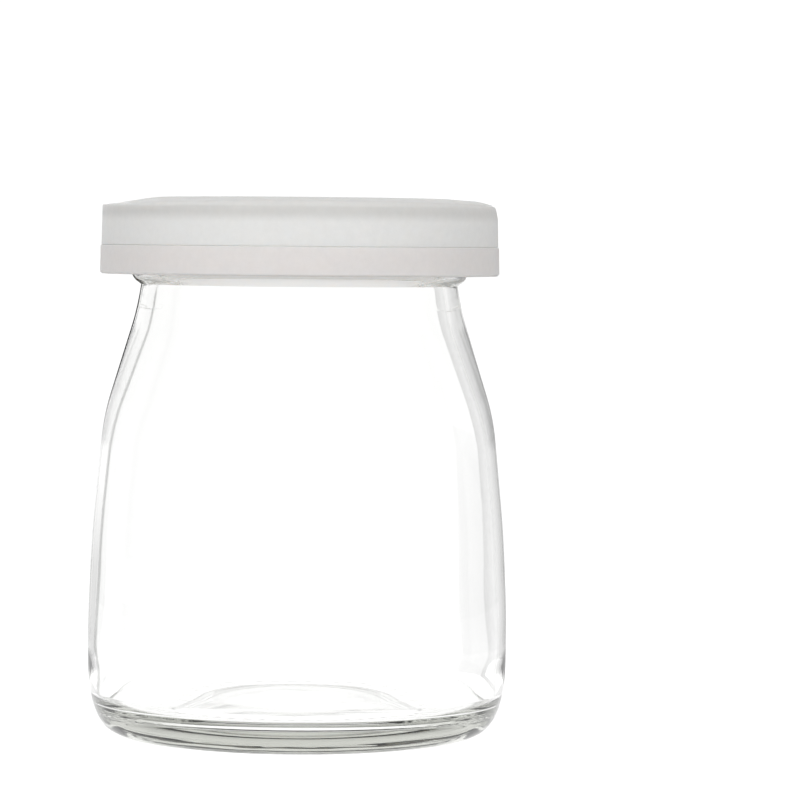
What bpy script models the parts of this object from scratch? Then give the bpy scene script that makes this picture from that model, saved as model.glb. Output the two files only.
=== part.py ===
"""A small glass yogurt jar with its plastic snap lid, empty and shut. Metres, +Z up.

The origin is the centre of the ring that the jar stands on. Both pieces are turned about Z.
"""

import math

import bpy

MM = 0.001
GAP = 0.3 * MM  # left between the lid and the glass that it grips

# Jar, outside
BELLY_RADIUS = 31.6 * MM  # widest, low on the body
BELLY_HEIGHT = 19.8 * MM
SHOULDER_RADIUS = 29.4 * MM  # where the long shoulder slope turns into the body
SHOULDER_HEIGHT = 48.0 * MM
SHOULDER_ROUND = 34.0 * MM
BODY_RADIUS = 31.0 * MM  # the body bows out a little between the shoulder and the belly
BODY_HEIGHT = 31.3 * MM
BODY_ROUND = 150.0 * MM  # also the belly's
WAIST_RADIUS = 24.4 * MM  # where the neck starts to flare
WAIST_HEIGHT = 64.3 * MM
WAIST_ROUND = 40.0 * MM
NECK_RADIUS = 23.9 * MM  # the sharp corner under the collar
NECK_HEIGHT = 67.8 * MM

# Jar, base
HEEL_HEIGHT = 13.0 * MM  # where the belly starts to turn under
HEEL_POWER = 2.7  # 2 is an ellipse, and more is squarer
RING_OUTER = 25.0 * MM  # the flat ring that the jar stands on
RING_INNER = 21.6 * MM
PUSH_REACH = 4.0 * MM  # how far in from the ring the step reaches
PUSH_UP = 1.3 * MM  # how far the middle of the base is raised
FLOOR_HEIGHT = 3.95 * MM  # inside
FLOOR_CROWN = 0.35 * MM  # how much the floor rises to its middle
FLOOR_RADIUS = 29.9 * MM  # where the floor's line meets the wall's, before the round between them
FLOOR_ROUND = 3.2 * MM

# Jar, wall
NECK_WALL = 2.15 * MM
BODY_WALL = 1.15 * MM
BELLY_WALL = 0.95 * MM
INNER_DROP = 1.1 * MM  # how much lower the inside turns at the shoulder and the neck
INNER_BELLY_HEIGHT = 12.5 * MM
INNER_BELLY_ROUND = 30.0 * MM
INNER_WAIST_ROUND = 24.0 * MM

# Jar, collar and lip, which the lid covers
COLLAR_UNDER_RADIUS = 25.1 * MM  # the collar's rounded underside, which shows below the lid
COLLAR_UNDER_HEIGHT = 68.7 * MM
COLLAR_UNDER_ROUND = 2.0 * MM
COLLAR_RADIUS = 25.5 * MM
COLLAR_HEIGHT = 70.2 * MM
COLLAR_ROUND = 0.5 * MM
GROOVE_RADIUS = 24.9 * MM
GROOVE_HEIGHT = 71.5 * MM
LIP_RADIUS = 27.9 * MM
LIP_UNDERSIDE = 72.2 * MM
LIP_UNDER_ROUND = 1.5 * MM
LIP_HEIGHT = 79.3 * MM
LIP_ROUND = 2.6 * MM
MOUTH_EDGE_RADIUS = 22.9 * MM  # the inner edge of the lip's top, before it is rounded
MOUTH_EDGE_ROUND = 1.6 * MM
BORE_RADIUS = 22.3 * MM
BORE_HEIGHT = 74.8 * MM  # where the throat's taper turns into the lip
BORE_ROUND = 6.0 * MM
THROAT_RADIUS = 21.7 * MM
THROAT_HEIGHT = 67.5 * MM

# Lid
LID_HEIGHT = 80.9 * MM
LID_FLAT_RADIUS = 22.0 * MM  # the flat middle of its top
LID_FLAT_ROUND = 20.0 * MM
LID_DROP = 0.55 * MM  # how far the top falls from there to its edge
LID_EDGE_ROUND = 1.1 * MM
LID_TOP_RADIUS = 29.72 * MM
LID_RIM_HEIGHT = 69.35 * MM  # its lower edge
LID_RIM_RADIUS = 30.06 * MM
LID_STEP_HEIGHT = 73.6 * MM  # a fine step round the skirt
LID_STEP = 0.12 * MM
LID_RIM_BEVEL = 0.3 * MM
SKIRT_INNER_RADIUS = 28.7 * MM
CEILING_ROUND = 1.0 * MM
SNAP_HEIGHT = 70.7 * MM  # the bead inside the skirt that snaps under the lip
SNAP_RADIUS = 27.1 * MM  # before it is rounded
SNAP_ROUND = 0.95 * MM
SNAP_ROOT_ROUND = 0.5 * MM

SEGMENTS = 56
HEEL_STEPS = 9
UNDER_STEPS = 5
CHORD_ERROR = 0.018 * MM  # how far a rounded corner's flats may lie inside its arc
SAME_PLACE = 0.0001 * MM
SHARP_ANGLE = math.radians(35)  # an edge that turns by more is drawn sharp

GLASS = {"colour": (0.93, 0.96, 0.94, 1), "roughness": 0.02, "transmission": 1.0, "ior": 1.52}
FROSTED = {"colour": (0.80, 0.80, 0.78, 1), "roughness": 0.45, "transmission": 0.35, "ior": 1.51}


def toward(start, end, distance):
    """The point that lies this far from start on the way to end."""
    share = distance / math.dist(start, end)
    return tuple(a + (b - a) * share for a, b in zip(start, end))


def fillet(before, corner, after, radius):
    """The points of the arc of this radius that rounds a corner between its two neighbours."""
    angle_in = math.atan2(before[1] - corner[1], before[0] - corner[0])
    angle_out = math.atan2(after[1] - corner[1], after[0] - corner[0])
    opening = abs((angle_out - angle_in + math.pi) % math.tau - math.pi)
    turn = math.pi - opening
    cut = radius / math.tan(opening / 2)
    start = toward(corner, before, cut)
    end = toward(corner, after, cut)
    middle = tuple((a + b) / 2 for a, b in zip(start, end))
    centre = toward(corner, middle, radius / math.sin(opening / 2))
    steps = max(2, math.ceil(turn / (2 * math.acos(1 - CHORD_ERROR / radius))))
    arms = [tuple(p - c for p, c in zip(point, centre)) for point in (start, end)]
    points = []
    for step in range(steps + 1):
        share = step / steps
        near, far = math.sin((1 - share) * turn), math.sin(share * turn)
        points.append(tuple(c + (near * a + far * b) / math.sin(turn) for c, a, b in zip(centre, *arms)))
    return points


def rounded(corners):
    """A path through corners of radius and height, each with the radius that rounds it, or 0 for a sharp one."""
    places = [corner[:2] for corner in corners]
    path = [places[0]]
    for before, (r, z, rounding), after in zip(places, corners[1:-1], places[2:]):
        path += fillet(before, (r, z), after, rounding) if rounding else [(r, z)]
    return path + [places[-1]]


def joined(*paths):
    """The paths end to end, without the points that two of them share."""
    whole = []
    for path in paths:
        whole += [point for point in path if not whole or math.dist(point, whole[-1]) > SAME_PLACE]
    return whole


def heel():
    """The turn from the belly under to the ring that the jar stands on, as a squared quarter ellipse."""
    reach = BELLY_RADIUS - RING_OUTER
    points = []
    for step in range(HEEL_STEPS + 1):
        angle = step / HEEL_STEPS * math.pi / 2
        out = math.cos(angle) ** (2 / HEEL_POWER)
        down = math.sin(angle) ** (2 / HEEL_POWER)
        points.append((RING_OUTER + reach * out, HEEL_HEIGHT * (1 - down)))
    return points


def push_up():
    """The flat middle of the base, raised by a soft step inside the ring that the jar stands on."""
    shares = [step / UNDER_STEPS for step in range(UNDER_STEPS + 1)]
    rise = [(RING_INNER - PUSH_REACH * share, PUSH_UP * math.sin(share * math.pi / 2) ** 2) for share in shares]
    return rise + [(0, PUSH_UP)]


def jar_inside():
    """The hollow from the middle of the floor up to the throat."""
    return rounded(
        [
            (0, FLOOR_HEIGHT + FLOOR_CROWN, 0),
            (FLOOR_RADIUS, FLOOR_HEIGHT, FLOOR_ROUND),
            (BELLY_RADIUS - BELLY_WALL, INNER_BELLY_HEIGHT, INNER_BELLY_ROUND),
            (BODY_RADIUS - BODY_WALL, BODY_HEIGHT, BODY_ROUND),
            (SHOULDER_RADIUS - BODY_WALL, SHOULDER_HEIGHT - INNER_DROP, SHOULDER_ROUND),
            (WAIST_RADIUS - NECK_WALL, WAIST_HEIGHT - INNER_DROP, INNER_WAIST_ROUND),
            (THROAT_RADIUS, THROAT_HEIGHT, 0),
        ]
    )


def jar_lip():
    """From the throat over the rounded lip, in to the groove and round the collar to the neck's corner."""
    return rounded(
        [
            (THROAT_RADIUS, THROAT_HEIGHT, 0),
            (BORE_RADIUS, BORE_HEIGHT, BORE_ROUND),
            (MOUTH_EDGE_RADIUS, LIP_HEIGHT, MOUTH_EDGE_ROUND),
            (LIP_RADIUS, LIP_HEIGHT, LIP_ROUND),
            (LIP_RADIUS, LIP_UNDERSIDE, LIP_UNDER_ROUND),
            (GROOVE_RADIUS, GROOVE_HEIGHT, COLLAR_ROUND),
            (COLLAR_RADIUS, COLLAR_HEIGHT, COLLAR_ROUND),
            (COLLAR_UNDER_RADIUS, COLLAR_UNDER_HEIGHT, COLLAR_UNDER_ROUND),
            (NECK_RADIUS, NECK_HEIGHT, 0),
        ]
    )


def jar_outside():
    """The body from the neck's corner down to the middle of the base."""
    body = rounded(
        [
            (NECK_RADIUS, NECK_HEIGHT, 0),
            (WAIST_RADIUS, WAIST_HEIGHT, WAIST_ROUND),
            (SHOULDER_RADIUS, SHOULDER_HEIGHT, SHOULDER_ROUND),
            (BODY_RADIUS, BODY_HEIGHT, BODY_ROUND),
            (BELLY_RADIUS, BELLY_HEIGHT, BODY_ROUND),
            (BELLY_RADIUS, HEEL_HEIGHT, 0),
        ]
    )
    return joined(body, heel(), push_up())


def lid_outside():
    """From the middle of the lid's top over its edge and down the skirt."""
    share = (LID_HEIGHT - LID_STEP_HEIGHT) / (LID_HEIGHT - LID_RIM_HEIGHT)
    step_radius = LID_TOP_RADIUS + (LID_RIM_RADIUS - LID_STEP - LID_TOP_RADIUS) * share
    return rounded(
        [
            (0, LID_HEIGHT, 0),
            (LID_FLAT_RADIUS, LID_HEIGHT, LID_FLAT_ROUND),
            (LID_TOP_RADIUS, LID_HEIGHT - LID_DROP, LID_EDGE_ROUND),
            (step_radius, LID_STEP_HEIGHT + LID_STEP, 0),
            (step_radius + LID_STEP, LID_STEP_HEIGHT, 0),
            (LID_RIM_RADIUS, LID_RIM_HEIGHT + LID_RIM_BEVEL, 0),
            (LID_RIM_RADIUS - LID_RIM_BEVEL, LID_RIM_HEIGHT, 0),
        ]
    )


def lid_inside():
    """From the skirt's lower edge up past the snap bead and in under the top."""
    ceiling = LIP_HEIGHT + GAP
    return rounded(
        [
            (LID_RIM_RADIUS - LID_RIM_BEVEL, LID_RIM_HEIGHT, 0),
            (SKIRT_INNER_RADIUS, LID_RIM_HEIGHT, 0),
            (SNAP_RADIUS, SNAP_HEIGHT, SNAP_ROUND),
            (SKIRT_INNER_RADIUS, LIP_UNDERSIDE, SNAP_ROOT_ROUND),
            (SKIRT_INNER_RADIUS, ceiling, CEILING_ROUND),
            (0, ceiling, 0),
        ]
    )


def turned(name, outline, material, collection):
    """A solid turned about Z from a profile that runs down its outer side, shaded smooth between sharp edges."""
    profile = bpy.data.meshes.new(name + "_profile")
    edges = [(i, i + 1) for i in range(len(outline) - 1)]
    profile.from_pydata([(r, 0, z) for r, z in outline], edges, [])
    obj = bpy.data.objects.new(name, profile)
    collection.objects.link(obj)
    screw = obj.modifiers.new("Turn", "SCREW")
    screw.angle = math.tau
    screw.steps = screw.render_steps = SEGMENTS
    screw.use_merge_vertices = True
    screw.merge_threshold = SAME_PLACE
    solid = bpy.data.meshes.new_from_object(obj.evaluated_get(bpy.context.evaluated_depsgraph_get()))
    obj.modifiers.clear()
    obj.data = solid
    bpy.data.meshes.remove(profile)
    solid.name = name
    solid.shade_smooth()
    solid.set_sharp_from_angle(angle=SHARP_ANGLE)
    solid.materials.clear()
    solid.materials.append(material)
    return obj


def clear_material(name, look):
    """A Principled material that lets light through."""
    material = bpy.data.materials.new(name)
    material.use_nodes = True
    shader = material.node_tree.nodes["Principled BSDF"].inputs
    shader["Base Color"].default_value = look["colour"]
    shader["Metallic"].default_value = 0.0
    shader["Roughness"].default_value = look["roughness"]
    shader["Transmission Weight"].default_value = look["transmission"]
    shader["IOR"].default_value = look["ior"]
    material.diffuse_color = look["colour"]
    return material


def make_jar(collection):
    outline = joined(jar_inside(), jar_lip(), jar_outside())
    return turned("jar", outline, clear_material("clear_glass", GLASS), collection)


def make_lid(collection):
    outline = joined(lid_outside(), lid_inside())
    return turned("lid", outline, clear_material("frosted_plastic", FROSTED), collection)


def clear_scene():
    for obj in list(bpy.data.objects):
        bpy.data.objects.remove(obj, do_unlink=True)


def main():
    clear_scene()
    collection = bpy.data.collections.new("yogurt_jar")
    bpy.context.scene.collection.children.link(collection)
    make_jar(collection)
    make_lid(collection)


main()
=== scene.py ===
"""The looks of a small glass yogurt jar with its frosted snap lid, empty and shut."""

import math

import bpy
import numpy as np
from mathutils import Matrix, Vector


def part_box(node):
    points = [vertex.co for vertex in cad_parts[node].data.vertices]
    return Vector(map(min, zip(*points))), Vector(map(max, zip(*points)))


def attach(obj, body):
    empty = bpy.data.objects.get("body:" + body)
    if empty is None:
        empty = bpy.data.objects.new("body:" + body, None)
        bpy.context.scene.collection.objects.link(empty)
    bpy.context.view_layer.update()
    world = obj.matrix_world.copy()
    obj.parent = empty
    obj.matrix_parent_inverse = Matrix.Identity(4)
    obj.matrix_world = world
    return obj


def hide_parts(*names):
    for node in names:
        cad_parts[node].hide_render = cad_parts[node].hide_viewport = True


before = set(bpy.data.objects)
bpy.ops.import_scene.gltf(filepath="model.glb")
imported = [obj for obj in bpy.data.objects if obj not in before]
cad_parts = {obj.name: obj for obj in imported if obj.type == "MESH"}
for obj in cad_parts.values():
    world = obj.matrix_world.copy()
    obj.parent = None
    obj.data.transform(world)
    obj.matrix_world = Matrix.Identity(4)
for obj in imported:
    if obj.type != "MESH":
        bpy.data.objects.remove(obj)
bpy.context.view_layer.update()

MM = 0.001
_, JAR_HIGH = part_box("jar")
LID_LOW, LID_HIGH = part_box("lid")
GAP = 0.3 * MM  # left between the lid and the glass that it grips

# Jar, outside
BELLY_RADIUS = JAR_HIGH.x  # widest, low on the body
BELLY_HEIGHT = 19.8 * MM
SHOULDER_RADIUS = 29.4 * MM  # where the long shoulder slope turns into the body
SHOULDER_HEIGHT = 48.0 * MM
SHOULDER_ROUND = 34.0 * MM
BODY_RADIUS = 31.0 * MM
BODY_HEIGHT = 31.3 * MM
BODY_ROUND = 150.0 * MM
WAIST_RADIUS = 24.4 * MM  # where the neck starts to flare
WAIST_HEIGHT = 64.3 * MM
WAIST_ROUND = 40.0 * MM
NECK_RADIUS = 23.9 * MM
NECK_HEIGHT = 67.8 * MM

# Jar, base
HEEL_HEIGHT = 13.0 * MM
HEEL_POWER = 2.7
RING_OUTER = 25.0 * MM
RING_INNER = 21.6 * MM
PUSH_REACH = 4.0 * MM  # how far in from the ring the step reaches
PUSH_UP = 1.3 * MM
FLOOR_HEIGHT = 3.95 * MM
FLOOR_CROWN = 0.35 * MM
FLOOR_RADIUS = 29.9 * MM
FLOOR_ROUND = 3.2 * MM

# Jar, wall
NECK_WALL = 2.15 * MM
BODY_WALL = 1.15 * MM
BELLY_WALL = 0.95 * MM
INNER_DROP = 1.1 * MM
INNER_BELLY_HEIGHT = 12.5 * MM
INNER_BELLY_ROUND = 30.0 * MM
INNER_WAIST_ROUND = 24.0 * MM

# Jar, collar and lip
COLLAR_UNDER_RADIUS = 25.1 * MM
COLLAR_UNDER_HEIGHT = 68.7 * MM
COLLAR_UNDER_ROUND = 2.0 * MM
COLLAR_RADIUS = 25.5 * MM
COLLAR_HEIGHT = 70.2 * MM
COLLAR_ROUND = 0.5 * MM
GROOVE_RADIUS = 24.9 * MM
GROOVE_HEIGHT = 71.5 * MM
LIP_RADIUS = 27.9 * MM
LIP_UNDERSIDE = 72.2 * MM
LIP_UNDER_ROUND = 1.5 * MM
LIP_HEIGHT = JAR_HIGH.z
LIP_ROUND = 2.6 * MM
MOUTH_EDGE_RADIUS = 22.9 * MM
MOUTH_EDGE_ROUND = 1.6 * MM
BORE_RADIUS = 22.3 * MM
BORE_HEIGHT = 74.8 * MM
BORE_ROUND = 6.0 * MM
THROAT_RADIUS = 21.7 * MM
THROAT_HEIGHT = 67.5 * MM

# Lid
LID_HEIGHT = LID_HIGH.z
LID_FLAT_RADIUS = 22.0 * MM
LID_FLAT_ROUND = 20.0 * MM
LID_DROP = 0.55 * MM
LID_EDGE_ROUND = 1.1 * MM
LID_TOP_RADIUS = 29.72 * MM
LID_RIM_HEIGHT = LID_LOW.z
LID_RIM_RADIUS = LID_HIGH.x
LID_STEP_HEIGHT = 73.6 * MM
LID_STEP = 0.12 * MM
LID_GROOVE = 0.16 * MM  # the fine line over the step, as deep as it is high
LEFT = -1
RIGHT = 1
LID_SAGS = ((LEFT, 20.0 * MM, 0.65 * MM), (RIGHT, 26.5 * MM, 0.5 * MM))  # side, start and depth of each
LID_TUCK = 0.55 * MM  # how far the edge's upper part is drawn in at the right
LID_TUCK_FROM = 77.8 * MM
LID_RIM_BEVEL = 0.3 * MM
SKIRT_INNER_RADIUS = 28.7 * MM
CEILING_ROUND = 1.0 * MM
SNAP_HEIGHT = 70.7 * MM
SNAP_RADIUS = 27.1 * MM
SNAP_ROUND = 0.95 * MM
SNAP_ROOT_ROUND = 0.5 * MM

# Jar, low relief
UNEVEN_HEIGHT = 3.0 * MM  # up to which the glass near the base is uneven
UNEVEN_IN = 0.05 * MM
UNEVEN_IN_WAVES = (3, 7, 11, 16)  # how many times each wave goes up and down round the axis
UNEVEN_UP = 0.08 * MM
UNEVEN_UP_WAVES = (2, 5, 9)
BAR_COUNT = 64
BAR_DEPTH = 0.05 * MM
BAR_END = 0.4 * MM  # over which a bar rises at both sides of the ring
BAR_WANDER = 2.0  # how far the bars stray from an even spacing, in radians of their own wave
BAR_WAVES = (3, 5)
WAVE_SHIFT = 1.7  # sets where each wave starts
SEAM_RISE = 0.02 * MM
SEAM_SHARPNESS = 0.9994
PLUNGER_LINE = 0.12 * MM
PLUNGER_LINE_HEIGHT = 5.25 * MM
PARTING = 0.03 * MM
PARTING_HEIGHT = 64.4 * MM
PARTING_ENDS = (0.8, 0.95)  # the squared cosines, 1 at the seams, between which it fades in

# Meshes
SEGMENTS = 256
HEEL_STEPS = 40
UNDER_STEPS = 20
CHORD_ERROR = 0.002 * MM
LONGEST_STEP = 1.5 * MM
SAME_PLACE = 0.0001 * MM
SHARP_ANGLE = math.radians(35)
OUTER = "outer"  # the attribute that is 1 where the surface comes after its highest ring

# Looks
GLASS_IOR = 1.52
GLASS_BODY = (0.69, 0.70, 0.655, 1)  # each metre absorbs what this lacks of white, times the density
GLASS_DENSITY = 32.0
# Painted shade: the glass is darkened where it is seen edge on, standing in for the dark outlines its
# surroundings give it, more at the left than at the right
EDGE_RANGE = (0.81, 0.85)  # from how far edge on the inner face the painted edge shade darkens it, 1 being a glancing look
SKIN_RANGE = (0.87, 0.905)  # and the outer face
EDGE_SHADE_COLOUR = (0.03, 0.035, 0.03, 1)
EDGE_FROM = (4.7 * MM, 6.2 * MM)  # the heights between which it comes in, inside the jar
EDGE_TO = (65.8 * MM, 67.4 * MM)  # and those between which it ends, under the collar
SKIN_FROM = (42.0 * MM, 50.0 * MM)  # the heights between which it comes in outside
EDGE_SHADE_SIDES = (1.0, 0.3)  # how strong the painted shade is at the left and at the right
EDGE_TURN = 8.0 * MM  # how far from the middle it changes from one to the other

LID_MIDDLE = (0.80, 0.80, 0.79, 1)
LID_PLATE_SHADE = (0.655, 0.655, 0.645, 1)  # painted shade where the top's plate lies behind it
LID_SKIRT_SHADE = (0.775, 0.752, 0.742, 1)  # painted warm shade below the step
# painted light: its inner side is whiter, for the light that comes through it
LID_INSIDE_LIGHT = (1.0, 0.99, 0.97, 1)
LID_IOR = 1.5
LID_GLOSS = 0.25  # 0.5 being what its IOR gives
LID_THROUGH_GLOW = 0.22  # a painted glow on its inner side, for the light that comes through it
# the warmth of that painted glow
LID_GLOW_WARMTH = 0.02
LID_PLATE_FADE = (77.0 * MM, 78.8 * MM)
LID_SKIRT_FADE = (LID_STEP_HEIGHT - 0.1 * MM, LID_STEP_HEIGHT + 0.1 * MM)
LID_CLOUDS = 0.04  # how much darker its cloudy grain is at most
CLOUD_SCALE = 900.0
CLOUD_DETAIL = 6.0
CLOUD_DETAIL_SHARE = 0.65  # the strength of each finer layer of the grain beside the one before
CLOUD_RANGE = (0.3, 0.7)
LID_ROUGHNESS = (0.36, 0.46)
LID_DEPTH = 2.0 * MM  # how far light runs in it
LID_DEPTH_TINT = (1.0, 0.92, 0.85)  # the share of that for red, green and blue

# Studio
FLOOR_REACH = 0.3
FLOOR_SIDES = 96
FLOOR_ROUGHNESS = 0.9
FLOOR_DROP = 0.05 * MM  # keeps it clear of the ring that the jar stands on
FLOOR_SHADE = 0.15
FLOOR_GLOW = 1.08
FLOOR_LAMP = 0.35  # its glow where it falls on the lid
BACKDROP = 1.07
LAMP_AROUND = 0.22
LAMP_FRONT = 1.33
LAMP_TOP = 0.56
LAMP_SIDES = ((LEFT, 0.86), (RIGHT, 0.67))  # the share of it that comes from each side
ROOM_SEEN = 0.6  # how bright the room over the table is where the glass shows it
ROOM_EDGE = (0.3, 0.8)  # how steep a look has to be for it
SIDE_SEEN = 0.93  # and the room at both sides
SIDE_EDGE = (0.4, 0.65)  # how far to the side a look has to be for it
CARD_BEHIND = 0.06
CARDS = {  # each card's edges left, right, below and above, its brightness left and right, and where it fades
    "tall_card": ((0.0385, 0.075, 0.0, 0.2), (0.55, 0.92), (0.6, 1.0)),
    "low_card": ((0.03, 0.0385, 0.0, 0.05), (1.0, 0.84), (0.6, 1.0)),
    "side_card": ((-0.075, -0.042, 0.0, 0.036), (0.74, 0.84), (0.45, 1.0)),
    "dark_card": ((-0.043, -0.026, 0.040, 0.075), (0.02, 0.02), (0.5, 0.0)),
}
GLOSS_CARD = "dark_card"  # it shows only in reflections

# Camera
CAMERA_DISTANCE = 0.610
CAMERA_HEIGHT = 0.0755
FRAME_PIXELS = 792
FOCAL_PIXELS = 4044
AXIS_PIXEL_X = 298.9  # where the jar's axis and the horizon lie in the photograph
HORIZON_PIXEL_Y = 234.7
CAMERA_ROLL = math.radians(0.5)
SENSOR_MM = 36.0
CLIP_START = 0.01

# Rays
BOUNCES = 24
GLOSSY_BOUNCES = 12


def toward(start, end, distance):
    """The point that lies this far from start on the way to end."""
    share = distance / math.dist(start, end)
    return tuple(a + (b - a) * share for a, b in zip(start, end))


def fillet(before, corner, after, radius):
    """The points of the arc of this radius that rounds a corner between its two neighbours."""
    angle_in = math.atan2(before[1] - corner[1], before[0] - corner[0])
    angle_out = math.atan2(after[1] - corner[1], after[0] - corner[0])
    opening = abs((angle_out - angle_in + math.pi) % math.tau - math.pi)
    turn = math.pi - opening
    cut = radius / math.tan(opening / 2)
    start = toward(corner, before, cut)
    end = toward(corner, after, cut)
    middle = tuple((a + b) / 2 for a, b in zip(start, end))
    centre = toward(corner, middle, radius / math.sin(opening / 2))
    steps = max(2, math.ceil(turn / (2 * math.acos(1 - CHORD_ERROR / radius))))
    arms = [tuple(p - c for p, c in zip(point, centre)) for point in (start, end)]
    points = []
    for step in range(steps + 1):
        share = step / steps
        near, far = math.sin((1 - share) * turn), math.sin(share * turn)
        points.append(tuple(c + (near * a + far * b) / math.sin(turn) for c, a, b in zip(centre, *arms)))
    return points


def rounded(corners):
    """A path through corners of radius, height and the radius that rounds them, or 0 for a sharp one."""
    places = [corner[:2] for corner in corners]
    path = [places[0]]
    for before, (r, z, rounding), after in zip(places, corners[1:-1], places[2:]):
        path += fillet(before, (r, z), after, rounding) if rounding else [(r, z)]
    return path + [places[-1]]


def joined(*paths):
    """The paths end to end, with long straights divided and without the points that two of them share."""
    whole = []
    for path in paths:
        for point in path:
            if not whole:
                whole.append(point)
                continue
            start, length = whole[-1], math.dist(point, whole[-1])
            if length <= SAME_PLACE:
                continue
            steps = math.ceil(length / LONGEST_STEP)
            whole += [toward(start, point, length * step / steps) for step in range(1, steps)] + [point]
    return whole


def scored(path, height, depth):
    """The path with a fine line round it at this height, pushed out from the axis by its depth."""
    stretches = enumerate(zip(path, path[1:]))
    index = next(i for i, (a, b) in stretches if min(a[1], b[1]) <= height < max(a[1], b[1]))
    start, end = path[index : index + 2]
    middle = toward(start, end, math.dist(start, end) * (height - start[1]) / (end[1] - start[1]))
    half = 2 * abs(depth)
    before = [point for point in path[: index + 1] if math.dist(point, middle) > half]
    after = [point for point in path[index + 1 :] if math.dist(point, middle) > half]
    cut = [toward(middle, before[-1], half), (middle[0] + depth, middle[1]), toward(middle, after[0], half)]
    return before + cut + after


def heel():
    """The turn from the belly under to the ring that the jar stands on, as a squared quarter ellipse."""
    reach = BELLY_RADIUS - RING_OUTER
    points = []
    for step in range(HEEL_STEPS + 1):
        angle = step / HEEL_STEPS * math.pi / 2
        out = math.cos(angle) ** (2 / HEEL_POWER)
        down = math.sin(angle) ** (2 / HEEL_POWER)
        points.append((RING_OUTER + reach * out, HEEL_HEIGHT * (1 - down)))
    return points


def push_up():
    """The flat middle of the base, raised by a soft step inside the ring that the jar stands on."""
    shares = [step / UNDER_STEPS for step in range(UNDER_STEPS + 1)]
    rise = [PUSH_UP * math.sin(share * math.pi / 2) ** 2 for share in shares]
    return [(RING_INNER - PUSH_REACH * share, height) for share, height in zip(shares, rise)] + [(0, PUSH_UP)]


def jar_inside():
    """The hollow from the middle of the floor up to the throat."""
    return rounded(
        [
            (0, FLOOR_HEIGHT + FLOOR_CROWN, 0),
            (FLOOR_RADIUS, FLOOR_HEIGHT, FLOOR_ROUND),
            (BELLY_RADIUS - BELLY_WALL, INNER_BELLY_HEIGHT, INNER_BELLY_ROUND),
            (BODY_RADIUS - BODY_WALL, BODY_HEIGHT, BODY_ROUND),
            (SHOULDER_RADIUS - BODY_WALL, SHOULDER_HEIGHT - INNER_DROP, SHOULDER_ROUND),
            (WAIST_RADIUS - NECK_WALL, WAIST_HEIGHT - INNER_DROP, INNER_WAIST_ROUND),
            (THROAT_RADIUS, THROAT_HEIGHT, 0),
        ]
    )


def jar_lip():
    """From the throat over the rounded lip, in to the groove and round the collar to the neck's corner."""
    return rounded(
        [
            (THROAT_RADIUS, THROAT_HEIGHT, 0),
            (BORE_RADIUS, BORE_HEIGHT, BORE_ROUND),
            (MOUTH_EDGE_RADIUS, LIP_HEIGHT, MOUTH_EDGE_ROUND),
            (LIP_RADIUS, LIP_HEIGHT, LIP_ROUND),
            (LIP_RADIUS, LIP_UNDERSIDE, LIP_UNDER_ROUND),
            (GROOVE_RADIUS, GROOVE_HEIGHT, COLLAR_ROUND),
            (COLLAR_RADIUS, COLLAR_HEIGHT, COLLAR_ROUND),
            (COLLAR_UNDER_RADIUS, COLLAR_UNDER_HEIGHT, COLLAR_UNDER_ROUND),
            (NECK_RADIUS, NECK_HEIGHT, 0),
        ]
    )


def jar_outside():
    """The body from the neck's corner down to the middle of the base."""
    body = rounded(
        [
            (NECK_RADIUS, NECK_HEIGHT, 0),
            (WAIST_RADIUS, WAIST_HEIGHT, WAIST_ROUND),
            (SHOULDER_RADIUS, SHOULDER_HEIGHT, SHOULDER_ROUND),
            (BODY_RADIUS, BODY_HEIGHT, BODY_ROUND),
            (BELLY_RADIUS, BELLY_HEIGHT, BODY_ROUND),
            (BELLY_RADIUS, HEEL_HEIGHT, 0),
        ]
    )
    return joined(body, heel(), push_up())


def lid_outside():
    """From the middle of the lid's top over its edge and down the skirt."""
    share = (LID_HEIGHT - LID_STEP_HEIGHT) / (LID_HEIGHT - LID_RIM_HEIGHT)
    step_radius = LID_TOP_RADIUS + (LID_RIM_RADIUS - LID_STEP - LID_TOP_RADIUS) * share
    return rounded(
        [
            (0, LID_HEIGHT, 0),
            (LID_FLAT_RADIUS, LID_HEIGHT, LID_FLAT_ROUND),
            (LID_TOP_RADIUS, LID_HEIGHT - LID_DROP, LID_EDGE_ROUND),
            (step_radius, LID_STEP_HEIGHT + LID_GROOVE, 0),
            (step_radius - LID_GROOVE, LID_STEP_HEIGHT + LID_GROOVE / 2, 0),
            (step_radius + LID_STEP, LID_STEP_HEIGHT, 0),
            (LID_RIM_RADIUS, LID_RIM_HEIGHT + LID_RIM_BEVEL, 0),
            (LID_RIM_RADIUS - LID_RIM_BEVEL, LID_RIM_HEIGHT, 0),
        ]
    )


def lid_inside():
    """From the skirt's lower edge up past the snap bead and in under the top."""
    ceiling = LIP_HEIGHT + GAP
    return rounded(
        [
            (LID_RIM_RADIUS - LID_RIM_BEVEL, LID_RIM_HEIGHT, 0),
            (SKIRT_INNER_RADIUS, LID_RIM_HEIGHT, 0),
            (SNAP_RADIUS, SNAP_HEIGHT, SNAP_ROUND),
            (SKIRT_INNER_RADIUS, LIP_UNDERSIDE, SNAP_ROOT_ROUND),
            (SKIRT_INNER_RADIUS, ceiling, CEILING_ROUND),
            (0, ceiling, 0),
        ]
    )


def smooth(values, start, end):
    """0 at start and 1 at end, with a soft turn at both."""
    share = np.clip((values - start) / (end - start), 0, 1)
    return share * share * (3 - 2 * share)


def waves(angles, counts):
    """A sum of waves round the axis, between -1 and 1, each with its own start."""
    return sum(np.cos(count * angles + WAVE_SHIFT * count**2) for count in counts) / len(counts)


def side(angles, way):
    """1 at the left or the right and falling to 0 at the front and the back."""
    return np.maximum(0, way * np.cos(angles)) ** 2


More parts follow.
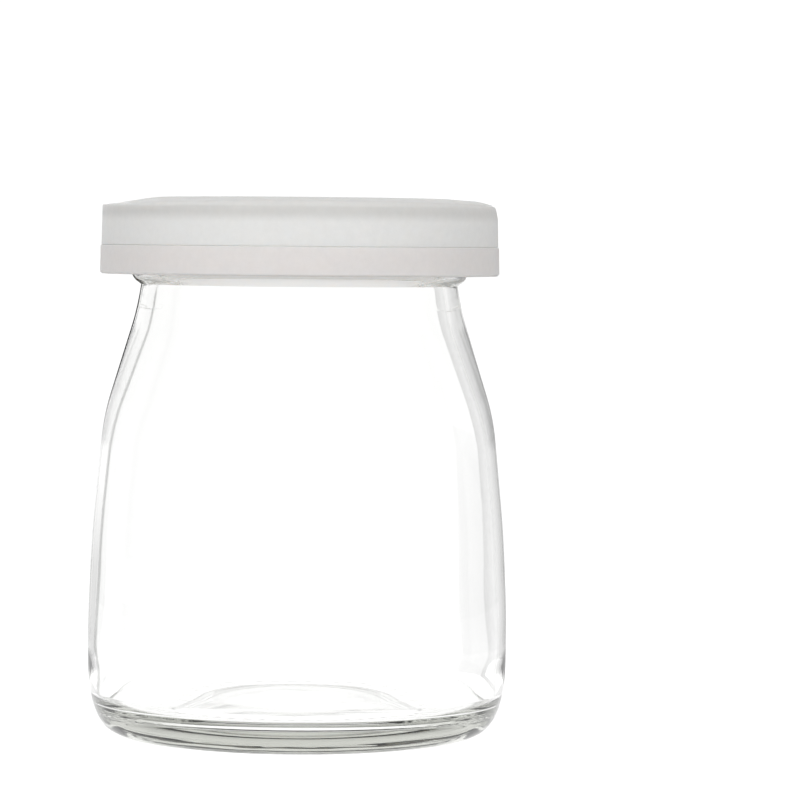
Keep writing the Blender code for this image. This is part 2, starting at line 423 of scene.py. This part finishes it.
def jar_relief(radii, heights, angles):
    """The uneven underside, the bars of the ring that the jar stands on, the parting line and the seams."""
    outside = np.arange(len(heights))[:, None] > np.argmax(heights)
    under = outside * (1 - smooth(heights, 0, UNEVEN_HEIGHT))
    pinch = UNEVEN_IN * (1 + waves(angles, UNEVEN_IN_WAVES))
    radii = radii - under * pinch * smooth(radii, RING_INNER, BELLY_RADIUS)
    lift = UNEVEN_UP * (1 + waves(angles, UNEVEN_UP_WAVES)) * (1 - smooth(radii, RING_INNER / 2, RING_INNER))
    past_inner = smooth(radii, RING_INNER - BAR_END, RING_INNER)
    past_outer = smooth(radii, RING_OUTER, RING_OUTER + BAR_END)
    wave = np.cos(BAR_COUNT * angles + BAR_WANDER * waves(angles, BAR_WAVES))
    bars = past_inner * (1 - past_outer) * BAR_DEPTH * (1 - wave) / 2
    heights = heights + under * (lift * smooth(radii, 0, RING_INNER / 2) + bars)
    parting = outside * (np.abs(heights - PARTING_HEIGHT) < SAME_PLACE)
    radii = radii - parting * PARTING * (1 - smooth(np.cos(angles) ** 2, *PARTING_ENDS))
    seam = np.maximum(0, np.cos(angles) ** 2 - SEAM_SHARPNESS) / (1 - SEAM_SHARPNESS)
    return radii - outside * smooth(heights, 0, HEEL_HEIGHT) * SEAM_RISE * (1 - seam), heights


def lid_relief(radii, heights, angles):
    """The top's edge is pressed down gently at the left, and more sharply and drawn in at the right."""
    top = smooth(heights, LIP_HEIGHT + GAP, LID_HEIGHT - LID_DROP)
    for way, start, depth in LID_SAGS:
        heights = heights - depth * smooth(radii, start, LID_TOP_RADIUS) * side(angles, way) * top
    upper = smooth(heights, LID_TUCK_FROM, LID_HEIGHT)
    outer = smooth(radii, SKIRT_INNER_RADIUS, LID_TOP_RADIUS)
    return radii - LID_TUCK * upper * side(angles, RIGHT) * outer, heights


def turned(name, outline, relief):
    """A closed solid turned about Z from a profile that starts and ends on the axis, with its low relief."""
    rings = np.array(outline[1:-1])
    angles = np.arange(SEGMENTS) / SEGMENTS * math.tau
    radii, heights = relief(rings[:, :1], rings[:, 1:], angles)
    points = np.stack([radii * np.cos(angles), radii * np.sin(angles), heights + 0 * angles], axis=-1)
    first, last = (0, 0, outline[0][1]), (0, 0, outline[-1][1])
    vertices = np.concatenate([points.reshape(-1, 3), [first, last]])
    outer = np.append(np.repeat(np.arange(len(rings)) > np.argmax(rings[:, 1]), SEGMENTS), [False, True])
    top, bottom = len(vertices) - 2, len(vertices) - 1
    around = np.arange(SEGMENTS)
    after = (around + 1) % SEGMENTS
    starts = np.arange(len(rings) - 1)[:, None] * SEGMENTS
    corners = [starts + around, starts + SEGMENTS + around, starts + SEGMENTS + after, starts + after]
    faces = np.stack(corners, axis=-1).reshape(-1, 4).tolist()
    end = (len(rings) - 1) * SEGMENTS
    faces += [(top, a, b) for a, b in zip(around.tolist(), after.tolist())]
    faces += [(bottom, end + b, end + a) for a, b in zip(around.tolist(), after.tolist())]
    mesh = bpy.data.meshes.new(name)
    mesh.from_pydata(vertices.tolist(), [], faces)
    mesh.validate()
    mesh.attributes.new(OUTER, "FLOAT", "POINT").data.foreach_set("value", outer.astype(np.float32))
    mesh.shade_smooth()
    mesh.set_sharp_from_angle(angle=SHARP_ANGLE)
    obj = bpy.data.objects.new(name, mesh)
    bpy.context.scene.collection.objects.link(obj)
    return obj


def new_material(name):
    """A new node material, its node tree and the inputs of its Principled shader."""
    material = bpy.data.materials.new(name)
    material.use_nodes = True
    tree = material.node_tree
    return material, tree, tree.nodes["Principled BSDF"].inputs


def add(tree, kind, values=(), **settings):
    """A new node with these settings and input values, each a number or the socket that feeds it."""
    node = tree.nodes.new(kind)
    for key, value in settings.items():
        setattr(node, key, value)
    for key, value in dict(values).items():
        if isinstance(value, bpy.types.NodeSocket):
            tree.links.new(value, node.inputs[key])
        else:
            node.inputs[key].default_value = value
    return node


def reckon(tree, operation, *values):
    """The output of a Math node."""
    return add(tree, "ShaderNodeMath", dict(enumerate(values)), operation=operation).outputs[0]


def remap(tree, value, before, after, soft=True):
    """The value carried from one range to another, held at its ends."""
    names = ("From Min", "From Max", "To Min", "To Max")
    values = {"Value": value, **dict(zip(names, (*before, *after)))}
    kind = "SMOOTHSTEP" if soft else "LINEAR"
    return add(tree, "ShaderNodeMapRange", values, interpolation_type=kind).outputs["Result"]


def blend(tree, share, first, second):
    """A mix of two colours."""
    mix = add(tree, "ShaderNodeMix", data_type="RGBA")
    for key, value in (("Factor", share), ("A", first), ("B", second)):
        socket = next(s for s in mix.inputs if s.name == key and s.enabled)
        if isinstance(value, bpy.types.NodeSocket):
            tree.links.new(value, socket)
        else:
            socket.default_value = value
    return next(s for s in mix.outputs if s.enabled)


def switch(tree, share, first, second):
    """A mix of two numbers."""
    return add(tree, "ShaderNodeMix", {"Factor": share, "A": first, "B": second}).outputs["Result"]


def grey(value, warmth=0.0):
    """A grey, or with some warmth more red and less blue."""
    return (value * (1 + warmth), value, value * (1 - warmth), 1)


def split(tree):
    """The three parts of the place on the object."""
    place = add(tree, "ShaderNodeTexCoord").outputs["Object"]
    return list(add(tree, "ShaderNodeSeparateXYZ", {0: place}).outputs)


def glass_material():
    """Clear glass with a faint green-grey body, with painted shade where it is met edge on, most at the left.
    """
    material, tree, shader = new_material("clear_glass")
    shader["Roughness"].default_value = 0.0
    shader["IOR"].default_value = GLASS_IOR
    shader["Transmission Weight"].default_value = 1.0
    facing = add(tree, "ShaderNodeLayerWeight", {"Blend": 0.5}).outputs["Facing"]
    x, _, height = split(tree)
    outer = add(tree, "ShaderNodeAttribute", attribute_name=OUTER).outputs["Fac"]
    starts = [remap(tree, height, heights, (0, 1)) for heights in (EDGE_FROM, SKIN_FROM)]
    where = reckon(tree, "MULTIPLY", switch(tree, outer, *starts), remap(tree, height, EDGE_TO, (1, 0)))
    turns = [remap(tree, facing, glances, (0, 1)) for glances in (EDGE_RANGE, SKIN_RANGE)]
    turn = switch(tree, outer, *turns)
    # painted shade, stronger at the left than at the right
    side_shade = remap(tree, x, (-EDGE_TURN, EDGE_TURN), EDGE_SHADE_SIDES)
    edge = reckon(tree, "MULTIPLY", reckon(tree, "MULTIPLY", turn, where), side_shade)
    # the painted edge shade goes into the glass's colour and the tint of its reflections
    edge_shade = blend(tree, edge, (1, 1, 1, 1), EDGE_SHADE_COLOUR)
    tree.links.new(edge_shade, shader["Base Color"])
    tree.links.new(edge_shade, shader["Specular Tint"])
    absorb = add(tree, "ShaderNodeVolumeAbsorption", {"Color": GLASS_BODY, "Density": GLASS_DENSITY})
    tree.links.new(absorb.outputs["Volume"], tree.nodes["Material Output"].inputs["Volume"])
    return material


def lid_material():
    """Milky frosted plastic with a fine cloudy grain, duller with painted shade where the top's plate lies
    behind it, with painted warm shade below the step and painted light on its inner side.
    """
    material, tree, shader = new_material("frosted_plastic")
    place = add(tree, "ShaderNodeTexCoord").outputs["Object"]
    x, y, height = split(tree)
    squares = [reckon(tree, "MULTIPLY", part, part) for part in (x, y)]
    radius = reckon(tree, "SQRT", reckon(tree, "ADD", *squares))
    # painted shade where the top's plate lies behind the skirt
    colour = blend(tree, remap(tree, height, LID_PLATE_FADE, (0, 1)), LID_MIDDLE, LID_PLATE_SHADE)
    # painted warm shade below the step
    colour = blend(tree, remap(tree, height, LID_SKIRT_FADE, (1, 0)), colour, LID_SKIRT_SHADE)
    # painted light: the inner side under the top is whiter and glows, for the light that comes through the
    # lid
    within = reckon(tree, "LESS_THAN", radius, SKIRT_INNER_RADIUS + GAP)
    inside = reckon(tree, "MULTIPLY", within, reckon(tree, "LESS_THAN", height, LIP_HEIGHT + 2 * GAP))
    colour = blend(tree, inside, colour, LID_INSIDE_LIGHT)
    shader["Subsurface Weight"].default_value = 1.0
    shader["Emission Color"].default_value = grey(1, LID_GLOW_WARMTH)
    tree.links.new(switch(tree, inside, 0.0, LID_THROUGH_GLOW), shader["Emission Strength"])
    grain = {"Vector": place, "Scale": CLOUD_SCALE, "Detail": CLOUD_DETAIL, "Roughness": CLOUD_DETAIL_SHARE}
    clouds = add(tree, "ShaderNodeTexNoise", grain).outputs["Fac"]
    cloudy = remap(tree, clouds, CLOUD_RANGE, (0.0, LID_CLOUDS), soft=False)
    tree.links.new(blend(tree, cloudy, colour, grey(0)), shader["Base Color"])
    tree.links.new(remap(tree, clouds, CLOUD_RANGE, LID_ROUGHNESS, soft=False), shader["Roughness"])
    shader["Specular IOR Level"].default_value = LID_GLOSS
    shader["Subsurface Radius"].default_value = LID_DEPTH_TINT
    shader["Subsurface Scale"].default_value = LID_DEPTH
    shader["IOR"].default_value = LID_IOR
    return material


def floor_material():
    """A plain pale floor that glows, so that no shadow shows on it."""
    material, tree, shader = new_material("pale_floor")
    shader["Base Color"].default_value = grey(FLOOR_SHADE)
    shader["Roughness"].default_value = FLOOR_ROUGHNESS
    shader["Specular IOR Level"].default_value = 0.0
    shader["Emission Color"].default_value = grey(1)
    diffuse = add(tree, "ShaderNodeLightPath").outputs["Is Diffuse Ray"]
    tree.links.new(switch(tree, diffuse, FLOOR_GLOW, FLOOR_LAMP), shader["Emission Strength"])
    return material


def card_material(name, left, right, fade):
    """A card that shades from one brightness at its left edge to another at its right, and fades to white."""
    material, tree, shader = new_material(name)
    shader["Base Color"].default_value = grey(0)
    shader["Specular IOR Level"].default_value = 0.0
    place = add(tree, "ShaderNodeTexCoord").outputs["UV"]
    across, up = add(tree, "ShaderNodeSeparateXYZ", {0: place}).outputs[:2]
    shade = blend(tree, across, grey(left), grey(right))
    tree.links.new(blend(tree, remap(tree, up, fade, (0, 1)), shade, grey(1)), shader["Emission Color"])
    shader["Emission Strength"].default_value = 1.0
    return material


def make_piece(name, outline, relief, material, node):
    """A turned piece that stands for one node of the solids."""
    piece = turned(name, outline, relief)
    piece.data.materials.append(material)
    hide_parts(node)
    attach(piece, "root")


def make_floor():
    below = (0, 0, -FLOOR_DROP)
    size = {"vertices": FLOOR_SIDES, "radius": FLOOR_REACH}
    bpy.ops.mesh.primitive_circle_add(fill_type="NGON", location=below, **size)
    floor = bpy.context.object
    floor.name = "floor"
    floor.data.materials.append(floor_material())


def make_card(name, edges, shades, fade):
    """An upright card behind the jar that shows only in the glass and in gloss."""
    bpy.ops.mesh.primitive_plane_add(size=1)
    card = bpy.context.object
    card.name = name
    left, right, low, high = edges
    card.location = ((left + right) / 2, CARD_BEHIND, (low + high) / 2)
    card.rotation_euler = (math.pi / 2, 0, 0)
    card.scale = (right - left, high - low, 1)
    card.data.materials.append(card_material(name, *shades, fade))
    card.visible_camera = card.visible_diffuse = card.visible_shadow = False
    card.visible_transmission = name != GLOSS_CARD


def make_world():
    """Soft white light all round, strongest from the front and from above where it falls on the lid."""
    world = bpy.data.worlds.new("studio")
    bpy.context.scene.world = world
    world.use_nodes = True
    tree = world.node_tree
    background = tree.nodes["Background"]
    background.inputs["Color"].default_value = grey(1)
    way = add(tree, "ShaderNodeTexCoord").outputs["Generated"]
    x, y, z = add(tree, "ShaderNodeSeparateXYZ", {0: way}).outputs
    front = remap(tree, y, (0.0, -1.0), (0.0, LAMP_FRONT), soft=False)
    above = remap(tree, z, (0.0, 1.0), (LAMP_AROUND, LAMP_AROUND + LAMP_TOP), soft=False)
    lit = reckon(tree, "ADD", front, above)
    for way, share in LAMP_SIDES:
        lit = reckon(tree, "MULTIPLY", lit, remap(tree, x, (0.0, way), (1.0, share), soft=False))
    room = remap(tree, z, ROOM_EDGE, (BACKDROP, BACKDROP * ROOM_SEEN))
    sides = remap(tree, reckon(tree, "ABSOLUTE", x), SIDE_EDGE, (1.0, SIDE_SEEN))
    seen = reckon(tree, "MULTIPLY", room, sides)
    rays = add(tree, "ShaderNodeLightPath").outputs
    for_glass = switch(tree, rays["Is Camera Ray"], seen, BACKDROP)
    tree.links.new(switch(tree, rays["Is Diffuse Ray"], for_glass, lit), background.inputs["Strength"])


def make_camera():
    """A camera that sees the axis and the horizon where the photograph has them."""
    data = bpy.data.cameras.new("camera")
    data.sensor_width = SENSOR_MM
    data.lens = FOCAL_PIXELS / FRAME_PIXELS * SENSOR_MM
    data.clip_start = CLIP_START
    camera = bpy.data.objects.new("camera", data)
    bpy.context.scene.collection.objects.link(camera)
    yaw = math.atan((FRAME_PIXELS / 2 - AXIS_PIXEL_X) / FOCAL_PIXELS)
    pitch = math.atan((FRAME_PIXELS / 2 - HORIZON_PIXEL_Y) / FOCAL_PIXELS)
    look = Matrix.Rotation(-yaw, 4, "Z") @ Matrix.Rotation(math.pi / 2 - pitch, 4, "X")
    roll = Matrix.Rotation(CAMERA_ROLL, 4, "Z")
    camera.matrix_world = Matrix.Translation((0, -CAMERA_DISTANCE, CAMERA_HEIGHT)) @ look @ roll
    bpy.context.scene.camera = camera


def set_up_view():
    """Plain colours, and enough bounces for light to run through both walls and the base."""
    scene = bpy.context.scene
    scene.view_settings.view_transform = "Standard"
    scene.cycles.max_bounces = BOUNCES
    scene.cycles.transmission_bounces = BOUNCES
    scene.cycles.glossy_bounces = GLOSSY_BOUNCES
    scene.cycles.transparent_max_bounces = BOUNCES


def main():
    make_camera()
    make_world()
    make_floor()
    for name, card in CARDS.items():
        make_card(name, *card)
    set_up_view()
    inside = scored(jar_inside(), PLUNGER_LINE_HEIGHT, PLUNGER_LINE)
    outside = scored(jar_outside(), PARTING_HEIGHT, PARTING)
    jar_outline = joined(inside, jar_lip(), outside)
    lid_outline = joined(lid_outside(), lid_inside())
    make_piece("glass_jar", jar_outline, jar_relief, glass_material(), "jar")
    make_piece("snap_lid", lid_outline, lid_relief, lid_material(), "lid")


main()
